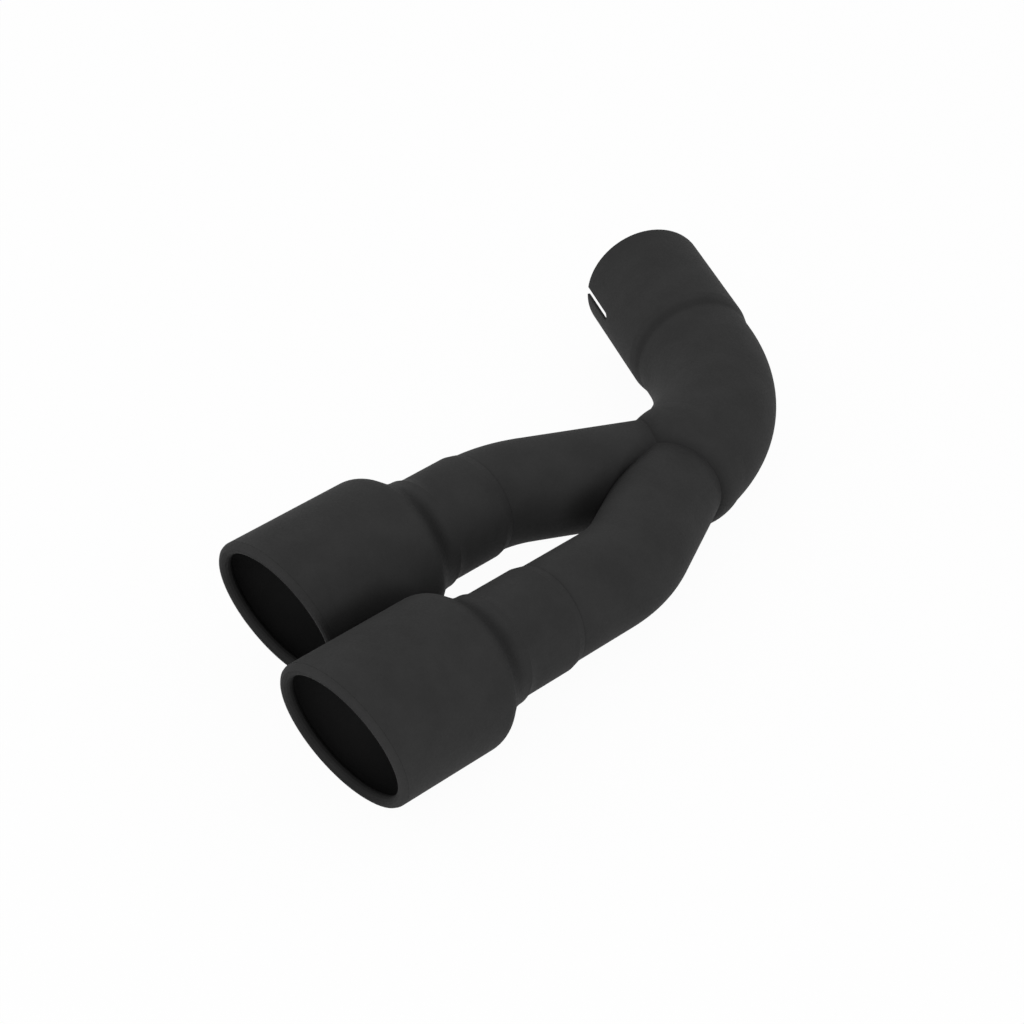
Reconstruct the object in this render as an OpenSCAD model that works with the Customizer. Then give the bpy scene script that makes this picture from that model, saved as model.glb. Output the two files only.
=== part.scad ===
// Twin-outlet exhaust tip: a slip-on inlet sleeve on a bent tube that ends in a
// ball-shaped hub, two coped legs, and two slash-cut cans with rolled-in lips.
// The origin is the centre of the inlet's mouth. The outlets face -Y and +Z is up.

/* [Inlet sleeve] */
// Bore of the sleeve that slips over the car's pipe
inlet_bore = 70.4; // [68:0.1:76]
// Length of the sleeve's bore
inlet_length = 70.5; // [50:0.5:90]
// Length of the cone from the sleeve down to the elbow
inlet_cone = 9.5; // [4:0.5:14]
// Number of clamp slots round the sleeve
slot_count = 2; // [1:1:4]
// Depth of each clamp slot from the mouth
slot_length = 31; // [12:0.5:40]
// Width of each clamp slot
slot_width = 4.8; // [2:0.1:8]

/* [Elbow] */
// Outside diameter of the elbow's tube
elbow_od = 70; // [66:0.1:70.8]
// Bend radius of the elbow at its centreline
elbow_radius = 113; // [90:1:150]
// Angle that the elbow turns through
elbow_bend = 55; // [40:0.5:75]
// Straight from the sleeve to the start of the bend
elbow_straight = 18; // [15:0.5:40]
// Angle between the start of the bend and the outlets
hub_angle = 9; // [0:0.5:15]
// Outside diameter of the ball-shaped hub
hub_od = 72; // [71:0.1:78]

/* [Legs] */
// Outside diameter of each leg
leg_od = 57.15; // [54:0.05:58]
// Bend radius of each leg at its centreline
leg_radius = 80; // [76:1:100]
// How far each leg reaches into its can's neck
leg_insertion = 30; // [15:1:33]
// Straight of the right leg outside its neck
right_leg_straight = 46.5; // [36:0.5:60]
// How far inside its neck the left leg starts to bend
left_bend_inset = 5; // [0:0.5:5]

/* [Cans] */
// Outside diameter of each can
can_od = 88.9; // [80:0.1:92]
// Distance between the two cans' axes
can_spacing = 93.5; // [93:0.5:110]
// How far right of the middle between the cans the hub stands
hub_offset = 3.25; // [-6:0.25:6]
// From the right can's mouth to the hub's centre
right_reach = 298; // [285:0.5:330]
// How far the left can's mouth is set back from the right one's
left_can_setback = 42; // [20:0.5:50]
// Length of each can's full-width wall, on its axis
can_length = 70.3; // [50:0.1:76]
// Radius of each can's rounded shoulder
shoulder_radius = 13.8; // [8:0.1:18]
// Angle that the shoulder turns through before it runs straight
shoulder_angle = 36.5; // [30:0.5:40]
// Radius of the flare from the shoulder to the collar
flare_radius = 26; // [20:1:32]
// Length of the fillet from the collar down to the neck
collar_fillet = 7.5; // [4:0.5:12]
// Length of the neck from the collar to its tapered end
neck_length = 36.6; // [34:0.1:42]
// Length of the neck's tapered end
neck_taper = 5; // [3:0.5:8]
// Slash angle of the mouth, with the top further out
slash_angle = 16; // [0:0.5:25]
// Outside radius of the rolled lip
lip_radius = 3.25; // [2.6:0.05:4]

/* [Sheet metal] */
// Wall of every tube and can
wall = 1.5; // [1:0.1:1.7]
// Radial gap where a neck slips over its leg
neck_gap = 0.3; // [0.3:0.05:0.5]

/* [Hidden] */
$fn = 96;
coat = [0.20, 0.20, 0.20];
sleeve_od = inlet_bore + 2 * wall;
leg_bore = leg_od - 2 * wall;
neck_bore = leg_od + 2 * neck_gap;
neck_od = neck_bore + 2 * wall;
leg_seat = sqrt(hub_od * hub_od - leg_od * leg_od) / 2;
cut_size = 4 * can_od;
overrun = 1;
bend_swell = 0.03;

// Headings turn from +Y towards -X, and the second function is a heading's left side.
function heading(a) = [-sin(a), cos(a)];
function left_of(a) = [-cos(a), -sin(a)];

// The pipe's centreline, from the mouth at the origin to the hub's centre
inlet_heading = hub_angle + elbow_bend;
sleeve_end = -inlet_length * heading(inlet_heading);
bend_end = sleeve_end - elbow_straight * heading(inlet_heading);
hub = bend_end + elbow_radius * (left_of(inlet_heading) - left_of(hub_angle));

// Each can's place, measured from the hub's centre back to the middle of its mouth
right_side = can_spacing / 2 - hub_offset;
left_side = can_spacing / 2 + hub_offset;
left_reach = right_reach - left_can_setback;

// The can's profile turns in at the shoulder, runs straight, and turns back onto the collar.
collar_od = neck_od + 2 * wall;
both_radii = shoulder_radius + flare_radius;
shoulder_turn = min(shoulder_angle, acos(1 - (can_od - collar_od) / 2 / both_radii));
cone_drop = (can_od - collar_od) / 2 - both_radii * (1 - cos(shoulder_turn));
flare_end = can_length + both_radii * sin(shoulder_turn) + cone_drop / tan(shoulder_turn);
fillet_turn = 2 * atan(wall / collar_fillet);
fillet_radius = collar_fillet / sin(fillet_turn);
neck_stop = flare_end + neck_length;
tip_length = neck_stop + neck_taper;
leg_start = neck_stop - leg_insertion;
right_bend_start = tip_length + right_leg_straight;
left_bend_start = tip_length - left_bend_inset;

// A leg bends until its straight points at the hub, which stands side and ahead of the bend's start.
// Where they are close, the bend is as tight as it must be to leave the leg's shortest straight.
shortest_straight = leg_seat + leg_od / 2 + overrun;
function bend_radius(side, ahead) =
    min(leg_radius, (side * side + ahead * ahead - pow(shortest_straight, 2)) / (2 * side));
function leg_straight(side, ahead) =
    sqrt(side * side + ahead * ahead - 2 * side * bend_radius(side, ahead));
function leg_bend(side, ahead) =
    let (radius = bend_radius(side, ahead))
    atan2(ahead, radius - side) - atan2(leg_straight(side, ahead), radius);
right_bend = leg_bend(right_side, right_reach - right_bend_start);
left_bend = leg_bend(left_side, left_reach - left_bend_start);
mitre_heading = (right_bend - left_bend) / 2;

function arc(centre, radius, from, to, steps) = [
    for (i = [0:steps])
        let (turn = from + (to - from) * i / steps)
        centre + radius * [cos(turn), sin(turn)]
];

function reversed(points) = [for (i = [len(points) - 1:-1:0]) points[i]];

// The can's side from past the mouth to the collar, at a depth under its outer skin
function can_side(depth) = concat(
    [[can_od / 2 - depth, -can_od / 2]],
    arc([can_od / 2 - shoulder_radius, can_length], shoulder_radius - depth, 0, shoulder_turn, 12),
    arc([collar_od / 2 + flare_radius, flare_end], flare_radius + depth, 180 + shoulder_turn, 180, 12));

// Places a child at a point, with its own +Z along the heading
module along(point, angle) {
    translate([point[0], point[1], 0]) rotate([0, 0, angle]) rotate([-90, 0, 0]) children();
}

// Sweeps a round section that starts at the origin along +Y, and bends left about its centre
module bend(angle, radius, section) {
    translate([-radius, 0, 0]) rotate_extrude(angle = angle) translate([radius, 0]) circle(d = section);
}

/* The inlet's outside or inside, from the mouth to the hub: sleeve, cone, tube and ball */
module elbow_solid(sleeve, tube, ball, extra) {
    along(bend_end, inlet_heading) {
        cylinder(d = tube, h = elbow_straight - inlet_cone);
        translate([0, 0, elbow_straight - inlet_cone]) cylinder(d1 = tube, d2 = sleeve, h = inlet_cone);
        translate([0, 0, elbow_straight]) cylinder(d = sleeve, h = inlet_length + extra);
        rotate([90, 0, 0]) bend(-elbow_bend, elbow_radius, tube);
    }
    translate([hub[0], hub[1], 0]) rotate([90, 0, 0]) sphere(d = ball);
}

module clamp_slots() {
    along([0, 0], inlet_heading)
        for (i = [0:slot_count - 1])
            rotate([0, 0, 180 + 360 * i / slot_count])
                translate([0, -slot_width / 2, -slot_length + slot_width / 2]) {
                    cube([sleeve_od, slot_width, slot_length]);
                    translate([0, slot_width / 2, 0]) rotate([0, 90, 0])
                        cylinder(d = slot_width, h = sleeve_od);
                }
}

/* What is cut off the ball for a leg, so that the leg's square end sits on the cut */
module leg_cut(angle) {
    rotate([0, 0, angle]) translate([-hub_od, -leg_seat - hub_od, -hub_od])
        cube([2 * hub_od, hub_od, 2 * hub_od]);
}

module inlet_elbow() {
    color(coat) difference() {
        elbow_solid(sleeve_od, elbow_od, hub_od, 0);
        elbow_solid(inlet_bore, elbow_od - 2 * wall, hub_od - 2 * wall, overrun);
        clamp_slots();
        translate([hub[0], hub[1], 0]) {
            leg_cut(right_bend);
            leg_cut(-left_bend);
        }
    }
}

/* A round bar along a leg's path: from the can's axis, through its bend, to the hub */
module leg_bar(d, from, side, ahead, bend_start, extra) {
    angle = leg_bend(side, ahead);
    radius = bend_radius(side, ahead);
    bend_out = [-radius, bend_start] - radius * left_of(angle);
    along([0, from], 0) cylinder(d = d, h = bend_start - from);
    translate([0, bend_start, 0]) bend(angle, radius, d);
    along(bend_out, angle) {
        cylinder(d = d, h = leg_straight(side, ahead) - leg_seat + extra);
        sphere(d = d + 2 * bend_swell);
    }
}

/* One leg in its can's frame, bending left to the hub, and cut on the mitre plane */
module leg(side, reach, bend_start, mitre) {
    difference() {
        leg_bar(leg_od, leg_start, side, reach - bend_start, bend_start, 0);
        leg_bar(leg_bore, leg_start - overrun, side, reach - bend_start, bend_start, overrun);
        translate([-side, reach, 0]) rotate([0, 0, mitre])
            translate([-cut_size, -cut_size / 2, -cut_size / 2]) cube(cut_size);
    }
}

module right_leg() {
    color(coat) translate([hub[0] + right_side, hub[1] - right_reach, 0])
        leg(right_side, right_reach, right_bend_start, mitre_heading);
}

module left_leg() {
    color(coat) translate([hub[0] - left_side, hub[1] - left_reach, 0]) mirror([1, 0, 0])
        leg(left_side, left_reach, left_bend_start, -mitre_heading);
}

/* The rolled lip: a split ring of bent sheet that follows the slashed mouth */
lip_path = can_od / 2 - lip_radius;
lip_rings = 72;
lip_steps = 10;
lip_from = -20;
lip_to = 250;
lip_points = 2 * (lip_steps + 1);

// A point of the lip's section, with its angle turning from the can's side to the front
function lip_point(around, roll, radius) =
    let (slope = tan(slash_angle))
    let (stretch = sqrt(1 + pow(slope * cos(around), 2)))
    let (outward = [cos(around), 0, sin(around)])
    let (forward = [slope * sin(around) * cos(around), -1, -slope * pow(cos(around), 2)] / stretch)
    lip_path * [cos(around), -slope * sin(around), sin(around)]
        + radius * (cos(roll) * outward + sin(roll) * forward);

function lip_roll(i) = lip_from + (lip_to - lip_from) * i / lip_steps;

function lip_section(around) = concat(
    [for (i = [0:lip_steps]) lip_point(around, lip_roll(i), lip_radius)],
    [for (i = [lip_steps:-1:0]) lip_point(around, lip_roll(i), lip_radius - wall)]);

module rolled_lip() {
    polyhedron(
        points = [for (k = [0:lip_rings - 1]) each lip_section(360 * k / lip_rings)],
        faces = [for (k = [0:lip_rings - 1]) for (i = [0:lip_points - 1])
            let (a = k * lip_points, b = (k + 1) % lip_rings * lip_points, j = (i + 1) % lip_points)
            each [[a + i, b + j, b + i], [a + i, a + j, b + j]]]);
}

/* One can in its own frame: the middle of its mouth at the origin, and its neck along +Y */
module tip() {
    cut_angle = atan(tan(slash_angle) * lip_path / (can_od / 2 - wall / 2));
    fillet_centre = [neck_od / 2 + fillet_radius, flare_end + collar_fillet];
    fillet = arc(fillet_centre, fillet_radius, 180 + fillet_turn, 180, 6);
    neck_edge = [[neck_od / 2, neck_stop], [neck_bore / 2 + wall / 4, tip_length]];
    bore = [[neck_bore / 2, tip_length], [neck_bore / 2, flare_end]];
    difference() {
        rotate([-90, 0, 0]) rotate_extrude()
            polygon(concat(can_side(0), fillet, neck_edge, bore, reversed(can_side(wall))));
        rotate([cut_angle, 0, 0]) translate([-cut_size / 2, -cut_size, -cut_size / 2]) cube(cut_size);
    }
    rolled_lip();
}

module right_tip() {
    color(coat) translate([hub[0] + right_side, hub[1] - right_reach, 0]) tip();
}

module left_tip() {
    color(coat) translate([hub[0] - left_side, hub[1] - left_reach, 0]) tip();
}

inlet_elbow();
left_leg();
right_leg();
left_tip();
right_tip();
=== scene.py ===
import math

import bpy
import bmesh
from mathutils import Matrix, Vector


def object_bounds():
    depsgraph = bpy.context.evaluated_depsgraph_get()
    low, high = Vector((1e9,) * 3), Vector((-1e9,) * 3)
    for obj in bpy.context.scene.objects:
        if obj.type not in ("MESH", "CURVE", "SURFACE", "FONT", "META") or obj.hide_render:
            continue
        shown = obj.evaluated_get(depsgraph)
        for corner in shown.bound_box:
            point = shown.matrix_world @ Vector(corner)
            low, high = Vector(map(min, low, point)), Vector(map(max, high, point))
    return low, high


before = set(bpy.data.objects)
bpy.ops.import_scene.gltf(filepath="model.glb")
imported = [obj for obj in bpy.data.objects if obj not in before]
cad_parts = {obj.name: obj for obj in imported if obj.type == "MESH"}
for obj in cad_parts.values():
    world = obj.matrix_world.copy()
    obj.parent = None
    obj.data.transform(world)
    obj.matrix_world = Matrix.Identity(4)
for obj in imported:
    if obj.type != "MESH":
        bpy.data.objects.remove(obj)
cad_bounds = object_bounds()

# The viewpoint: a long lens behind the car, above the part and to its right, which looks
# forward over the two outlets to the inlet. It is rolled a few degrees, as the picture is.
TURN, TILT, ROLL = math.radians(42.03), math.radians(36.54), math.radians(4.12)
BACK = Vector((math.sin(TURN) * math.cos(TILT), -math.cos(TURN) * math.cos(TILT), math.sin(TILT)))
ACROSS = Vector((math.cos(TURN), math.sin(TURN), 0))
ABOVE = BACK.cross(ACROSS)
RIGHT = ACROSS * math.cos(ROLL) + ABOVE * math.sin(ROLL)
UP = ABOVE * math.cos(ROLL) - ACROSS * math.sin(ROLL)
RIGHT_OUTLET = Vector((0.1851, -0.4207, 0))
AIM_RIGHT, AIM_UP, DISTANCE = 0.08263, 0.11061, 1.6328
EYE = RIGHT_OUTLET + AIM_RIGHT * RIGHT + AIM_UP * UP + DISTANCE * BACK
SENSOR_MM, FOCAL_PIXELS, PICTURE_PIXELS = 36, 3300, 1024
camera = bpy.data.objects.new("camera", bpy.data.cameras.new("camera"))
camera.data.sensor_width = SENSOR_MM
camera.data.lens = SENSOR_MM * FOCAL_PIXELS / PICTURE_PIXELS
camera.data.clip_start, camera.data.clip_end = 0.05, 60
camera.matrix_world = Matrix.Translation(EYE) @ Matrix((RIGHT, UP, BACK)).transposed().to_4x4()
bpy.context.scene.collection.objects.link(camera)
bpy.context.scene.camera = camera
bpy.context.scene.view_settings.view_transform = "Standard"


# The finish on all five pieces: bead-blasted steel under a sprayed and baked matt black
# ceramic coating, which dries to a dark grey with almost no gloss. Its fine grit scatters
# the light, and uneven thickness leaves faint cloudy patches a few centimetres across.
def from_hex(colour):
    parts = [int(colour[i:i + 2], 16) / 255 for i in (1, 3, 5)]
    return tuple(c / 12.92 if c < 0.04045 else ((c + 0.055) / 1.055) ** 2.4 for c in parts) + (1,)


def add_node(tree, kind, links=None, **settings):
    """Adds a node, sets its properties or unlinked inputs, and links the rest."""
    made = tree.nodes.new(kind)
    for name, value in settings.items():
        setattr(made, name, value)
    for socket, value in (links or {}).items():
        if isinstance(value, bpy.types.NodeSocket):
            tree.links.new(value, made.inputs[socket])
        else:
            made.inputs[socket].default_value = value
    return made


GRIT_MM = 1.4           # the real grit is about 0.1 mm, too fine to show, so it is drawn coarse
GRIT_HEIGHT_MM = 0.2
CLOUD_MM = 24
CORNER_SHADE_REACH_MM = 20       # how far from a wall or corner the painted corner shade reaches


def black_coating(name, edge_radius, painted_corner_shade, paint_shade):
    """Coating that rounds the edges it covers to edge_radius, in metres, and has shade painted
    into its colour in corners, by the share that its third argument gives. Either may be a
    function that builds nodes for it, and the last argument mixes further painted shade in."""
    coating = bpy.data.materials.new(name)
    coating.use_nodes = True
    tree = coating.node_tree
    tree.nodes.clear()
    place = add_node(tree, "ShaderNodeTexCoord").outputs["Object"]
    edge_radius, painted_corner_shade = (
        value(tree, place) if callable(value) else value for value in (edge_radius, painted_corner_shade))

    cloud = add_node(tree, "ShaderNodeTexNoise", {
        "Vector": place, "Scale": 1000 / CLOUD_MM, "Detail": 3.0, "Roughness": 0.6})
    thinness = add_node(tree, "ShaderNodeMapRange", {
        "Value": cloud.outputs["Fac"], "From Min": 0.35, "From Max": 0.65})
    body = add_node(tree, "ShaderNodeMix", {
        "Factor": thinness.outputs["Result"], "A": from_hex("#2a2a2a"),
        "B": from_hex("#2e2e2e")}, data_type="RGBA").outputs["Result"]

    # Painted shade: corners and recesses, where shade falls, are darkened in the colour towards
    # near black.
    corner = add_node(tree, "ShaderNodeAmbientOcclusion", {
        "Distance": CORNER_SHADE_REACH_MM / 1000}, samples=8)
    corner_shade_share = add_node(tree, "ShaderNodeMapRange", {
        "Value": corner.outputs["AO"], "From Min": 0.6, "From Max": 0.95,
        "To Min": painted_corner_shade, "To Max": 0.0})
    body = add_node(tree, "ShaderNodeMix", {
        "Factor": corner_shade_share.outputs["Result"], "A": body,
        "B": from_hex("#080808")}, data_type="RGBA").outputs["Result"]
    # More painted shade, in rings or in a bore, is mixed into the colour here.
    body = paint_shade(tree, place, body)

    grit = add_node(tree, "ShaderNodeTexNoise", {
        "Vector": place, "Scale": 1000 / GRIT_MM, "Detail": 2.0, "Roughness": 0.6})
    dryness = add_node(tree, "ShaderNodeMapRange", {
        "Value": grit.outputs["Fac"], "From Min": 0.3, "From Max": 0.7,
        "To Min": 0.70, "To Max": 0.82})
    rounded = add_node(tree, "ShaderNodeBevel", {"Radius": edge_radius}, samples=6)
    bump = add_node(tree, "ShaderNodeBump", {
        "Height": grit.outputs["Fac"], "Strength": 0.35, "Distance": GRIT_HEIGHT_MM / 1000,
        "Normal": rounded.outputs["Normal"]})
    shade = add_node(tree, "ShaderNodeBsdfPrincipled", {
        "Base Color": body, "Roughness": dryness.outputs["Result"],
        "Normal": bump.outputs["Normal"], "Specular IOR Level": 0.1})
    add_node(tree, "ShaderNodeOutputMaterial", {"Surface": shade.outputs["BSDF"]})
    return coating


# The inlet pipe with its ball-shaped hub, and the two legs: steel tube, expanded, bent and
# welded. The hub's seams are dressed smooth under the coating, so they show as soft folds,
# while the cone between sleeve and pipe keeps tighter edges, with painted shade along its foot.
HUB_MIDDLE = (0.1416, -0.1227, 0)
INLET_AXIS = (0.898794, -0.438371, 0)
CONE_FOOT = 0.0785


def out_from_hub(nearest, farthest, at_hub, elsewhere):
    """A value that changes between two distances from the hub's middle."""
    def ramp(tree, place):
        from_hub = add_node(tree, "ShaderNodeVectorMath", {
            0: place, 1: HUB_MIDDLE}, operation="DISTANCE")
        return add_node(tree, "ShaderNodeMapRange", {
            "Value": from_hub.outputs["Value"], "From Min": nearest, "From Max": farthest,
            "To Min": at_hub, "To Max": elsewhere}).outputs["Result"]
    return ramp


def painted_shade_ring(mouth, axis, depth, half_width, amount):
    """A soft-edged band of painted shade round a pipe or can, at a depth along its axis."""
    def paint_shade(tree, place, body):
        from_mouth = add_node(tree, "ShaderNodeVectorMath", {
            0: place, 1: mouth}, operation="SUBTRACT").outputs["Vector"]
        along = add_node(tree, "ShaderNodeVectorMath", {
            0: from_mouth, 1: axis}, operation="DOT_PRODUCT").outputs["Value"]
        past_ring = add_node(tree, "ShaderNodeMath", {
            0: along, 1: depth}, operation="SUBTRACT").outputs[0]
        off_ring = add_node(tree, "ShaderNodeMath", {
            0: past_ring}, operation="ABSOLUTE").outputs[0]
        ring_shade = add_node(tree, "ShaderNodeMapRange", {
            "Value": off_ring, "From Min": 0.001, "From Max": half_width,
            "To Min": amount, "To Max": 0.0}, interpolation_type="SMOOTHSTEP")
        # Painted shade: the colour in the band is mixed towards near black.
        return add_node(tree, "ShaderNodeMix", {
            "Factor": ring_shade.outputs["Result"], "A": body,
            "B": from_hex("#0c0c0c")}, data_type="RGBA").outputs["Result"]
    return paint_shade


dressed_tube = black_coating(
    "matt_black_ceramic_coating_on_dressed_tube",
    # Painted corner shade is weak near the hub and strong elsewhere.
    edge_radius=out_from_hub(nearest=0.045, farthest=0.060, at_hub=0.014, elsewhere=0.003),
    painted_corner_shade=out_from_hub(nearest=0.038, farthest=0.050, at_hub=0.1, elsewhere=0.6),
    paint_shade=painted_shade_ring((0, 0, 0), INLET_AXIS, CONE_FOOT, half_width=0.006, amount=0.28))
for name in ("inlet_elbow", "left_leg", "right_leg"):
    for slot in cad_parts[name].material_slots:
        slot.material = dressed_tube


# The two cans: sheet steel spun down to a neck behind, and rolled over at the slashed mouth.
# Shade is painted into each bore, darkest just inside the lip, and into the valley behind the
# shoulder. The coating is thin enough here to leave every formed edge crisp.
CAN_MOUTHS = {"left_tip": (0.0916, -0.3787, 0), "right_tip": (0.1851, -0.4207, 0)}
CAN_AXIS = (0, 1, 0)
VALLEY_DEPTH = 0.0845
SLASH = math.radians(16)
# Painted shade in the bore: where it starts and ends along the can, and how dark it is on the lip
# and just behind it.
LIP_FRONT, LIP_BACK, BORE_SHADE_END = 0.002, 0.008, 0.034
LIP_SHADE, SHADE_BEHIND_LIP = 0.35, 0.7


def painted_bore_and_valley_shade(mouth):
    """Painted shade round the valley, and in the bore wherever the surface faces the can's own
    axis.
    """
    valley_shade = painted_shade_ring(mouth, CAN_AXIS, VALLEY_DEPTH, half_width=0.0125, amount=0.75)

    def paint_shade(tree, place, body):
        from_mouth = add_node(tree, "ShaderNodeVectorMath", {
            0: place, 1: mouth}, operation="SUBTRACT").outputs["Vector"]
        # How far in from the plane of the slashed mouth, along the can
        inside = add_node(tree, "ShaderNodeVectorMath", {
            0: from_mouth, 1: (0, 1, math.tan(SLASH))}, operation="DOT_PRODUCT").outputs["Value"]

        # Near 1 on the can's outside, near -1 in its bore, and near 0 on the lip's front
        to_side = (1, 0, 1)
        outward = add_node(tree, "ShaderNodeVectorMath", {
            0: from_mouth, 1: to_side}, operation="MULTIPLY").outputs["Vector"]
        outward = add_node(tree, "ShaderNodeVectorMath", {
            0: outward}, operation="NORMALIZE").outputs["Vector"]
        facing = add_node(tree, "ShaderNodeNewGeometry").outputs["True Normal"]
        faces_out = add_node(tree, "ShaderNodeVectorMath", {
            0: outward, 1: facing}, operation="DOT_PRODUCT").outputs["Value"]

        behind_lip = add_node(tree, "ShaderNodeMapRange", {
            "Value": inside, "From Min": LIP_BACK, "From Max": BORE_SHADE_END,
            "To Min": SHADE_BEHIND_LIP, "To Max": 0.0})
        bore_shade_by_depth = add_node(tree, "ShaderNodeMapRange", {
            "Value": inside, "From Min": LIP_FRONT, "From Max": LIP_BACK,
            "To Min": LIP_SHADE, "To Max": behind_lip.outputs["Result"]})
        bore_shade = add_node(tree, "ShaderNodeMapRange", {
            "Value": faces_out, "From Min": -0.25, "From Max": 0.15,
            "To Min": bore_shade_by_depth.outputs["Result"], "To Max": 0.0}, interpolation_type="SMOOTHSTEP")
        # Painted shade: the bore is mixed towards near black.
        return add_node(tree, "ShaderNodeMix", {
            "Factor": bore_shade.outputs["Result"], "A": valley_shade(tree, place, body),
            "B": from_hex("#060606")}, data_type="RGBA").outputs["Result"]
    return paint_shade


for name, mouth in CAN_MOUTHS.items():
    shaded_can = black_coating(
        "matt_black_ceramic_coating_on_" + name,
        edge_radius=0.0003, painted_corner_shade=0.55, paint_shade=painted_bore_and_valley_shade(mouth))
    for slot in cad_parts[name].material_slots:
        slot.material = shaded_can


# The studio: white paper under the part and an even white light from all round, so that the
# paper keeps only the part's soft shadow. The camera, and any gloss on the part, see the
# paper and the light at full white, whatever they give off.
MIDDLE = Vector((0.1, -0.2, 0))
PAPER_RADIUS = 14
PAPER_GAP = 0.0002
WHITENED = 0.96
LIGHT_LEVEL = 0.86


def seen_directly(tree):
    ray = add_node(tree, "ShaderNodeLightPath").outputs
    return add_node(tree, "ShaderNodeMath", {
        0: ray["Is Camera Ray"], 1: ray["Is Glossy Ray"]}, operation="MAXIMUM").outputs[0]


floor_mesh = bmesh.new()
bmesh.ops.create_circle(
    floor_mesh, cap_ends=True, radius=PAPER_RADIUS, segments=64,
    matrix=Matrix.Translation((MIDDLE.x, MIDDLE.y, cad_bounds[0][2] - PAPER_GAP)))
floor_data = bpy.data.meshes.new("studio_floor")
floor_mesh.to_mesh(floor_data)
floor_mesh.free()
floor = bpy.data.objects.new("studio_floor", floor_data)
bpy.context.scene.collection.objects.link(floor)

paper = bpy.data.materials.new("white_studio_paper")
paper.use_nodes = True
tree = paper.node_tree
tree.nodes.clear()
matt = add_node(tree, "ShaderNodeBsdfDiffuse", {"Color": from_hex("#e6e6e6")})
glow = add_node(tree, "ShaderNodeEmission", {"Color": from_hex("#ffffff"), "Strength": 1.0})
whitening = add_node(tree, "ShaderNodeMath", {
    0: seen_directly(tree), 1: WHITENED}, operation="MULTIPLY")
both = add_node(tree, "ShaderNodeMixShader", {
    "Fac": whitening.outputs[0], 1: matt.outputs[0], 2: glow.outputs[0]})
add_node(tree, "ShaderNodeOutputMaterial", {"Surface": both.outputs[0]})
floor_data.materials.append(paper)

world = bpy.data.worlds.new("studio")
bpy.context.scene.world = world
world.use_nodes = True
tree = world.node_tree
tree.nodes.clear()
level = add_node(tree, "ShaderNodeMapRange", {
    "Value": seen_directly(tree), "To Min": LIGHT_LEVEL, "To Max": 1.0})
sky = add_node(tree, "ShaderNodeBackground", {
    "Color": from_hex("#ffffff"), "Strength": level.outputs[0]})
add_node(tree, "ShaderNodeOutputWorld", {"Surface": sky.outputs[0]})

LAMP_WIDTH = 1.6
for name, spot, watts in (("key_lamp", (1.1, -1.9, 1.0), 14), ("fill_lamp", (-1.4, -1.4, 1.0), 2)):
    lamp = bpy.data.objects.new(name, bpy.data.lights.new(name, "AREA"))
    lamp.data.shape = "DISK"
    lamp.data.size = LAMP_WIDTH
    lamp.data.energy = watts
    lamp.location = spot
    lamp.rotation_euler = (MIDDLE - Vector(spot)).to_track_quat("-Z", "Y").to_euler()
    bpy.context.scene.collection.objects.link(lamp)
